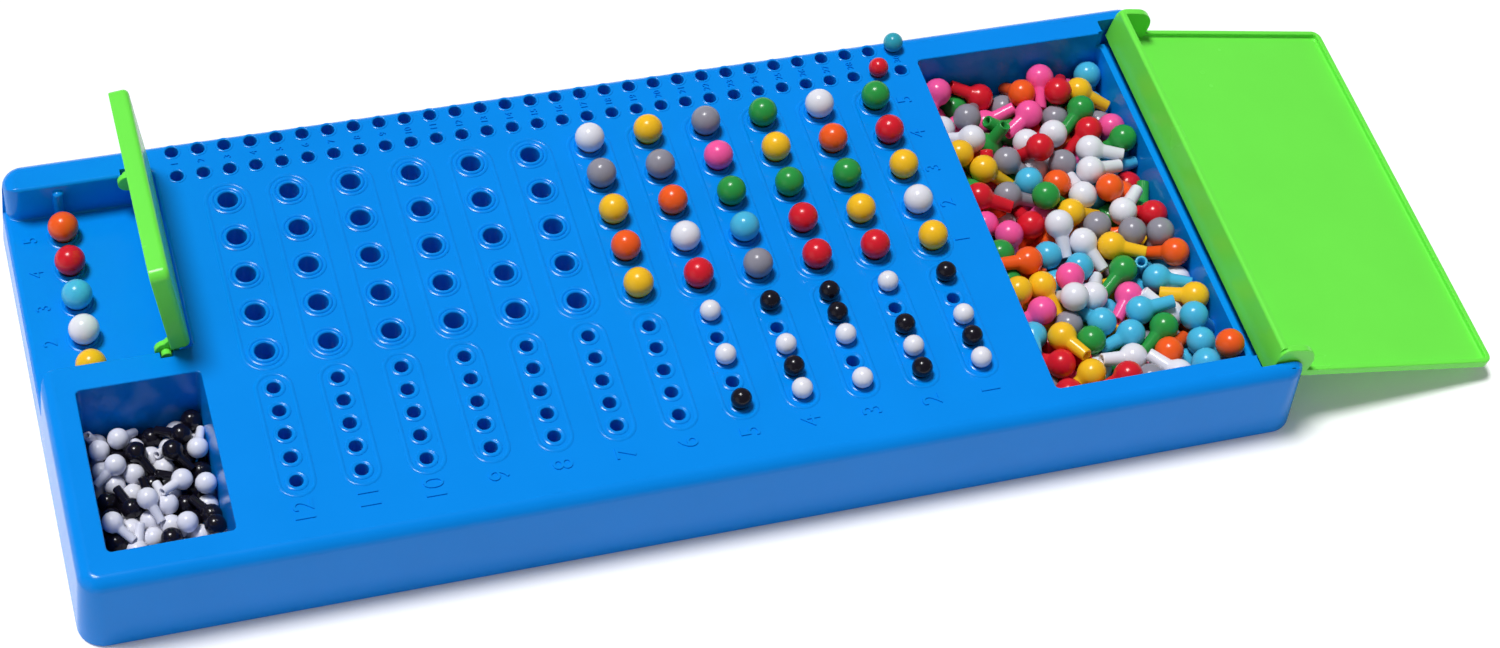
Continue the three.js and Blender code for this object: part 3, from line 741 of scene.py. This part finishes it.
def makeLid():
    # A hood with a skirt along the hinge, and a cheek and a pin at each end, drawn closed
    # round the axis and then turned open
    area = (-lid["reach"], lid["skirtReach"], -lid["half"], lid["half"])
    hood = hoodForm(area, lid)
    joint = lid["top"] - lid["plate"] / 2
    reach, drop = lid["cheekReach"], lid["skirtDrop"]
    cheek = np.concatenate([
        [[-reach, joint]],
        arc(lid["cheekRound"] - reach, lid["cheekRound"] - drop, lid["cheekRound"], 180, 270, 10),
        arc(lid["skirtReach"] - lid["heelRound"], lid["heelRound"] - drop, lid["heelRound"],
            270, 360, 8),
        [[lid["skirtReach"], joint]]])
    cheeks = gathered([extruded(cheek, -lid["half"], -lid["half"] + lid["cheekWall"]),
                       extruded(cheek, lid["half"] - lid["cheekWall"], lid["half"])])
    inner = lid["skirtReach"] - lid["skirtWall"]
    bevel, knee = lid["skirtBevel"], lid["skirtKnee"]
    section = np.concatenate([
        [[inner, joint], [inner, bevel - drop], [inner + knee, knee - drop],
         [inner + bevel, -drop]],
        arc(lid["skirtReach"] - lid["skirtRound"], lid["skirtRound"] - drop, lid["skirtRound"],
            280, 360, 6),
        [[lid["skirtReach"], joint]]])
    root = lid["half"] - lid["cheekWall"] / 2
    skirt = extruded(section, -root, root, edge=lid["skirtEdge"])
    pinReach = lid["half"] + lid["pinLength"]
    pins = gathered([rod(0, 0, -pinReach, -root, lid["pinRadius"]),
                     rod(0, 0, root, pinReach, lid["pinRadius"])])
    place = (lid["axisX"], lid["middleY"], lid["axisZ"])
    base, cheeks, skirt, pins = (
        moved(form, lid["angle"], place) for form in (hood, cheeks, skirt, pins))
    piece = fused("code_tray_lid", base, [("UNION", skirt), ("UNION", cheeks), ("UNION", pins)])
    weighted(smoothed(piece))
    coated(piece, "cover_green")
    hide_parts("tray_lid")
    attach(piece, "lid")


# Pegs

pegs = {
    "code": {"head": 4.4, "stem": 2.2, "tip": 1.95, "length": 15.0, "neck": 0.7, "bore": 1.15,
             "boreDepth": 5.0, "edge": 0.3, "headSteps": 14, "sides": 32},
    "key": {"head": 3.05, "stem": 1.4, "tip": 1.25, "length": 10.8, "neck": 0.45, "bore": 0.65,
            "boreDepth": 3.5, "edge": 0.2, "headSteps": 12, "sides": 28},
}
pegMesh = {
    "neckSteps": 3, "looseHeadSteps": 8, "looseNeckSteps": 1, "looseSides": 18,
    "creaseAngle": 50.0,
    "tipKnee": 0.3,  # where the middle of the tip's bevel lies, as a share of its edge
}


def pegProfile(peg, headSteps, neckSteps):
    # Radius and height up a peg: hollow tip, tapered stem, hollowed neck, ball head at zero
    head, stem, tip, edge = peg["head"], peg["stem"], peg["tip"], peg["edge"]
    low = head - peg["length"]
    neck, knee = peg["neck"], peg["edge"] * pegMesh["tipKnee"]
    neckZ = math.sqrt((head + neck) ** 2 - (stem + neck) ** 2)
    lean = math.degrees(math.atan2(neckZ, stem + neck))
    neckArc = arc(stem + neck, -neckZ, neck, 180, 180 - lean, neckSteps)
    ballArc = arc(0, 0, head, -lean, 90, headSteps)
    return np.concatenate([
        [[0, low + peg["boreDepth"]], [peg["bore"], low + peg["boreDepth"]],
         [peg["bore"], low + edge], [peg["bore"] + edge, low], [tip - edge, low],
         [tip - knee, low + knee], [tip, low + edge]],
        neckArc, ballArc[1:-1], [[0, head]]])


def pegSlots():
    # The material slot of every peg that stands in a hole
    return {entry["node"]: entry["material_slot"] for entry in frame["record"]["subparts"]
            if entry["material_slot"].startswith("peg_") and "loose" not in entry["node"]}


def makeSeatedPegs():
    # A finer peg for each CAD peg, with its head at the top of that peg's box
    forms = {kind: turned(pegProfile(peg, peg["headSteps"], pegMesh["neckSteps"]), peg["sides"])
             for kind, peg in pegs.items()}
    for node, slotName in sorted(pegSlots().items()):
        kind = "code" if node.startswith(("code", "secret")) else "key"
        low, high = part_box(node)
        centre = ((np.array(low) + np.array(high)) / 2 - origin) / mm
        centre[2] = (high.z - origin[2]) / mm - pegs[kind]["head"]
        points, faceSets = forms[kind]
        piece = makePiece(f"{node}_round", (points + centre, faceSets))
        coated(smoothed(piece, pegMesh["creaseAngle"]), slotName)
        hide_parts(node)
        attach(piece, node)
    print("seated pegs are in their holes")


# Loose pegs

# Each loose peg is a row of balls, with these radii and places along its axis
heaps = {
    "code": {"seed": 11, "node": "loose_code_pegs",
             "radii": (4.4, 2.15, 2.05, 1.95), "along": (0.0, -5.0, -7.0, -8.6),
             "shares": {"peg_pink": 23, "peg_light_blue": 27, "peg_red": 20, "peg_orange": 23,
                        "peg_white": 26, "peg_green": 23, "peg_yellow": 20, "peg_grey": 20}},
    "key": {"seed": 5,
            "radii": (3.05, 1.35, 1.3, 1.25), "along": (0.0, -3.9, -5.4, -6.45),
            "shares": {"peg_white": 37, "peg_black": 25}},
}
settling = {
    "rounds": 700, "quickRounds": 60,
    # the start: room of a peg in its layer and height of a layer, in head radii, and the lean
    "layerRoom": 2.6, "layerHeight": 2.4, "startLift": 3.0, "upright": 0.6,
    "fall": 0.32, "slowing": 2.2,  # millimetres each round, and how late the fall slows down
    "listEvery": 4, "listReach": 1.5,  # when close pairs are listed again, and how close
    # pushes in a round, how much of an overlap each takes out, and how crowding calms it
    "pushes": 2, "pushShare": 0.9, "calming": 0.5, "leastDistance": 1e-6,
}


def settle(heap, tray, rounds):
    # Every peg is a stiff row of balls: they fall a little each round, are pushed out of each
    # other and of the walls, and the row is then fitted again through its balls
    draw = np.random.default_rng(heap["seed"])
    radii = np.array(heap["radii"])
    along = np.array(heap["along"])
    count, balls = sum(heap["shares"].values()), len(radii)
    left, right, near, far = tray
    taper, floor, high = trays["taper"], trays["floor"], board["height"]
    head = radii[0]
    room = (head * settling["layerRoom"]) ** 2
    perLayer = max(1, int((right - left) * (far - near) / room))
    layer = np.arange(count) // perLayer
    place = np.stack([
        draw.uniform(left + head + taper, right - head - taper, count),
        draw.uniform(near + head + taper, far - head - taper, count),
        floor + head + settling["startLift"] + layer * head * settling["layerHeight"]], axis=1)
    axis = draw.normal(size=(count, 3)) * np.array([1, 1, settling["upright"]])
    axis /= np.linalg.norm(axis, axis=1, keepdims=True)
    weight = radii ** 3
    weight = weight / weight.sum()
    balance = (along * weight).sum()
    owner = np.repeat(np.arange(count), balls)
    size = np.tile(radii, count)
    first, second = np.triu_indices(count * balls, 1)
    apart = owner[first] != owner[second]
    first, second = first[apart], second[apart]
    reach = size[first] + size[second]
    heavy = np.tile(weight, count)
    share = (heavy[second] / (heavy[first] + heavy[second]))[:, None]
    for step in range(rounds):
        ball = place[:, None, :] + axis[:, None, :] * along[None, :, None]
        ball[..., 2] -= settling["fall"] * min(1.0, settling["slowing"] * (1 - step / rounds))
        spot = ball.reshape(-1, 3)
        if step % settling["listEvery"] == 0:
            gap = np.abs(spot[first] - spot[second]).max(axis=1)
            close = gap < reach + settling["listReach"]
            one, two, touch, part = first[close], second[close], reach[close], share[close]
        for _ in range(settling["pushes"]):
            line = spot[one] - spot[two]
            distance = np.linalg.norm(line, axis=1)
            deep = np.maximum(touch - distance, 0)
            push = line / np.maximum(distance, settling["leastDistance"])[:, None]
            push = push * deep[:, None] * settling["pushShare"]
            moves = np.zeros_like(spot)
            hits = np.bincount(one, deep > 0, len(spot)) + np.bincount(two, deep > 0, len(spot))
            for side in range(3):
                moves[:, side] = np.bincount(one, push[:, side] * part[:, 0], len(spot))
                moves[:, side] -= np.bincount(two, push[:, side] * (1 - part[:, 0]), len(spot))
            spot += moves / np.maximum(hits, 1)[:, None] ** settling["calming"]
            inset = taper * np.clip((high - spot[:, 2]) / (high - floor), 0, 1) + size
            spot[:, 0] = np.clip(spot[:, 0], left + inset, right - inset)
            spot[:, 1] = np.clip(spot[:, 1], near + inset, far - inset)
            spot[:, 2] = np.maximum(spot[:, 2], floor + size)
        ball = spot.reshape(count, balls, 3)
        middle = (ball * weight[None, :, None]).sum(axis=1)
        lean = ((ball - middle[:, None]) * (weight * (along - balance))[None, :, None]).sum(axis=1)
        axis = lean / np.linalg.norm(lean, axis=1, keepdims=True)
        place = middle - axis * balance
    return place, axis


def laid(form, place, axis):
    # Copies of an upright peg, each leaned so that its own axis points along the given one
    points, faceSets = form
    # The helper is any direction that stands well off the axis
    helper = np.where(np.abs(axis[:, 2:]) < 0.9, [[0, 0, 1.0]], [[1.0, 0, 0]])
    side = np.cross(helper, axis)
    side /= np.linalg.norm(side, axis=1, keepdims=True)
    other = np.cross(axis, side)
    turns = np.stack([side, other, axis], axis=1)
    spots = np.einsum("pk,nkj->npj", points, turns) + place[:, None, :]
    return spots.reshape(-1, 3), copied(faceSets, len(place), len(points))


def makeHeap(name):
    # The settled pegs, coloured by their shares in a drawn order, one piece to a colour
    heap, shares = heaps[name], heaps[name]["shares"]
    rounds = settling["rounds"]
    place, axis = settle(heap, trays[name], rounds)
    profile = pegProfile(pegs[name], pegMesh["looseHeadSteps"], pegMesh["looseNeckSteps"])
    form = turned(profile, pegMesh["looseSides"])
    draw = np.random.default_rng(heap["seed"] + 1)
    colours = np.repeat(list(shares), list(shares.values()))
    draw.shuffle(colours)
    for slotName in shares:
        chosen = colours == slotName
        piece = makePiece(f"loose_{name}_{slotName}", laid(form, place[chosen], axis[chosen]))
        coated(smoothed(piece, pegMesh["creaseAngle"]), slotName)
        if "node" in heap:
            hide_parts(heap["node"])
        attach(piece, "board")
    print(f"{len(place)} loose {name} pegs, highest {place[:, 2].max():.1f} mm")


# Materials

finishes = {
    "board_blue": {"colour": (3, 136, 232), "roughness": 0.18, "shine": 0.17},
    "cover_green": {"colour": (112, 236, 76), "roughness": 0.26},
    "peg_white": {"colour": (226, 226, 236)},
    "peg_black": {"colour": (20, 17, 28), "roughness": 0.2},
    "peg_grey": {"colour": (142, 140, 152)},
    "peg_yellow": {"colour": (245, 190, 34)},
    "peg_orange": {"colour": (243, 92, 30)},
    "peg_red": {"colour": (214, 28, 44)},
    "peg_pink": {"colour": (246, 88, 160)},
    "peg_green": {"colour": (42, 150, 66)},
    "peg_light_blue": {"colour": (72, 182, 222)},
    "peg_teal": {"colour": (47, 159, 180)},
}
plastic = {
    "roughness": 0.24, "shine": 0.36, "ior": 1.5,
    "shadeSpread": 0.05, "roughSpread": 0.04, "cloudScale": 38.0, "cloudDetail": 3.0,
    "grainScale": 900.0, "grainDetail": 2.0, "grainDepth": 0.00004, "grainStrength": 0.15,
}


def linear(colour):
    # Screen values from 0 to 255 as linear light
    value = np.array(colour) / 255.0
    light = np.where(value <= 0.04045, value / 12.92, ((value + 0.055) / 1.055) ** 2.4)
    return (*(float(part) for part in light), 1.0)


def noiseIn(tree, scale, detail):
    # Noise that is laid out in the object's own frame
    place = tree.nodes.new("ShaderNodeTexCoord")
    noise = tree.nodes.new("ShaderNodeTexNoise")
    noise.inputs["Scale"].default_value = scale
    noise.inputs["Detail"].default_value = detail
    tree.links.new(place.outputs["Object"], noise.inputs["Vector"])
    return noise


def plasticMaterial(name):
    # Moulded plastic: faint clouds in colour and gloss, and a very fine grain as bump
    look = finishes[name]
    material = bpy.data.materials.new(name)
    material.use_nodes = True
    tree = material.node_tree
    nodes, links = tree.nodes, tree.links
    shader = nodes["Principled BSDF"]
    cloud = noiseIn(tree, plastic["cloudScale"], plastic["cloudDetail"])
    tint = nodes.new("ShaderNodeMix")
    tint.data_type = "RGBA"
    base = np.array(linear(look["colour"])[:3])
    tint.inputs["A"].default_value = (*(base * (1 - plastic["shadeSpread"])), 1.0)
    tint.inputs["B"].default_value = (*np.minimum(base * (1 + plastic["shadeSpread"]), 1.0), 1.0)
    links.new(cloud.outputs["Fac"], tint.inputs["Factor"])
    links.new(tint.outputs["Result"], shader.inputs["Base Color"])
    roughness = look.get("roughness", plastic["roughness"])
    gloss = nodes.new("ShaderNodeMapRange")
    gloss.inputs["To Min"].default_value = roughness - plastic["roughSpread"]
    gloss.inputs["To Max"].default_value = roughness + plastic["roughSpread"]
    links.new(cloud.outputs["Fac"], gloss.inputs["Value"])
    links.new(gloss.outputs["Result"], shader.inputs["Roughness"])
    grain = noiseIn(tree, plastic["grainScale"], plastic["grainDetail"])
    bump = nodes.new("ShaderNodeBump")
    bump.inputs["Strength"].default_value = plastic["grainStrength"]
    bump.inputs["Distance"].default_value = plastic["grainDepth"]
    links.new(grain.outputs["Fac"], bump.inputs["Height"])
    links.new(bump.outputs["Normal"], shader.inputs["Normal"])
    shader.inputs["IOR"].default_value = plastic["ior"]
    shader.inputs["Specular IOR Level"].default_value = look.get("shine", plastic["shine"])
    return material


materials = {name: plasticMaterial(name) for name in finishes}
print(len(materials), "plastics are mixed")

# Studio

studio = {
    "floorColour": (251, 251, 252), "floorHalf": 3.0, "floorGlow": 0.08, "tableLight": 0.08,
    "floorRoughness": 0.9, "floorShine": 0.1,
    "worldLow": 0.21, "worldHigh": 0.16, "worldTop": 0.8, "worldColour": (250, 251, 255),
    "lamps": {
        "key": {"direction": (-0.22, 0.2, 0.955), "angle": 16.0, "strength": 2.95},
        "fill": {"direction": (-0.9, -0.35, 0.26), "angle": 50.0, "strength": 0.25},
    },
}


def addFloor():
    # A pale matt floor. A faint glow that only the camera sees keeps it white around the game,
    # and one that only soft light sees lights the walls from below, as a light table does
    half = studio["floorHalf"]
    mesh = bpy.data.meshes.new("floor")
    mesh.from_pydata([(-half, -half, 0), (half, -half, 0), (half, half, 0), (-half, half, 0)],
                     [], [(0, 1, 2, 3)])
    floor = bpy.data.objects.new("floor", mesh)
    scene.collection.objects.link(floor)
    material = bpy.data.materials.new("floor")
    material.use_nodes = True
    nodes, links = material.node_tree.nodes, material.node_tree.links
    shader = nodes["Principled BSDF"]
    shader.inputs["Base Color"].default_value = linear(studio["floorColour"])
    shader.inputs["Roughness"].default_value = studio["floorRoughness"]
    shader.inputs["Specular IOR Level"].default_value = studio["floorShine"]
    shader.inputs["Emission Color"].default_value = (1, 1, 1, 1)
    path = nodes.new("ShaderNodeLightPath")
    table = nodes.new("ShaderNodeMath")
    table.operation = "MULTIPLY"
    table.inputs[1].default_value = studio["tableLight"]
    glow = nodes.new("ShaderNodeMath")
    glow.operation = "MULTIPLY_ADD"
    glow.inputs[1].default_value = studio["floorGlow"]
    links.new(path.outputs["Is Diffuse Ray"], table.inputs[0])
    links.new(path.outputs["Is Camera Ray"], glow.inputs[0])
    links.new(table.outputs[0], glow.inputs[2])
    links.new(glow.outputs[0], shader.inputs["Emission Strength"])
    mesh.materials.append(material)


def addWorld():
    # Soft room light, a little brighter near the horizon, and white where the camera sees it
    world = bpy.data.worlds.new("studio")
    scene.world = world
    world.use_nodes = True
    nodes, links = world.node_tree.nodes, world.node_tree.links
    room = nodes["Background"]
    room.inputs["Color"].default_value = linear(studio["worldColour"])
    where = nodes.new("ShaderNodeTexCoord")
    split = nodes.new("ShaderNodeSeparateXYZ")
    level = nodes.new("ShaderNodeMapRange")
    level.inputs["From Max"].default_value = studio["worldTop"]
    level.inputs["To Min"].default_value = studio["worldLow"]
    level.inputs["To Max"].default_value = studio["worldHigh"]
    links.new(where.outputs["Generated"], split.inputs[0])
    links.new(split.outputs["Z"], level.inputs["Value"])
    links.new(level.outputs["Result"], room.inputs["Strength"])
    white = nodes.new("ShaderNodeBackground")
    white.inputs["Color"].default_value = (1, 1, 1, 1)
    path = nodes.new("ShaderNodeLightPath")
    mix = nodes.new("ShaderNodeMixShader")
    links.new(path.outputs["Is Camera Ray"], mix.inputs[0])
    links.new(room.outputs[0], mix.inputs[1])
    links.new(white.outputs[0], mix.inputs[2])
    links.new(mix.outputs[0], nodes["World Output"].inputs["Surface"])


def addLamps():
    # One large soft lamp high over the game, a little to the left and behind it, and a fainter
    # one low on the left that lights the upright faces
    for name, lamp in studio["lamps"].items():
        light = bpy.data.lights.new(name, "SUN")
        light.angle = math.radians(lamp["angle"])
        light.energy = lamp["strength"]
        holder = bpy.data.objects.new(name, light)
        scene.collection.objects.link(holder)
        holder.rotation_euler = Vector(lamp["direction"]).to_track_quat("Z", "Y").to_euler()


addFloor()
addWorld()
addLamps()
scene.view_settings.view_transform = "Standard"
print("studio is set")

makeBoard()
makeNumbers()
print("board is moulded")
makeFlap()
makeLid()
print("flap and lid are hung")
makeSeatedPegs()
for heapName in heaps:
    makeHeap(heapName)
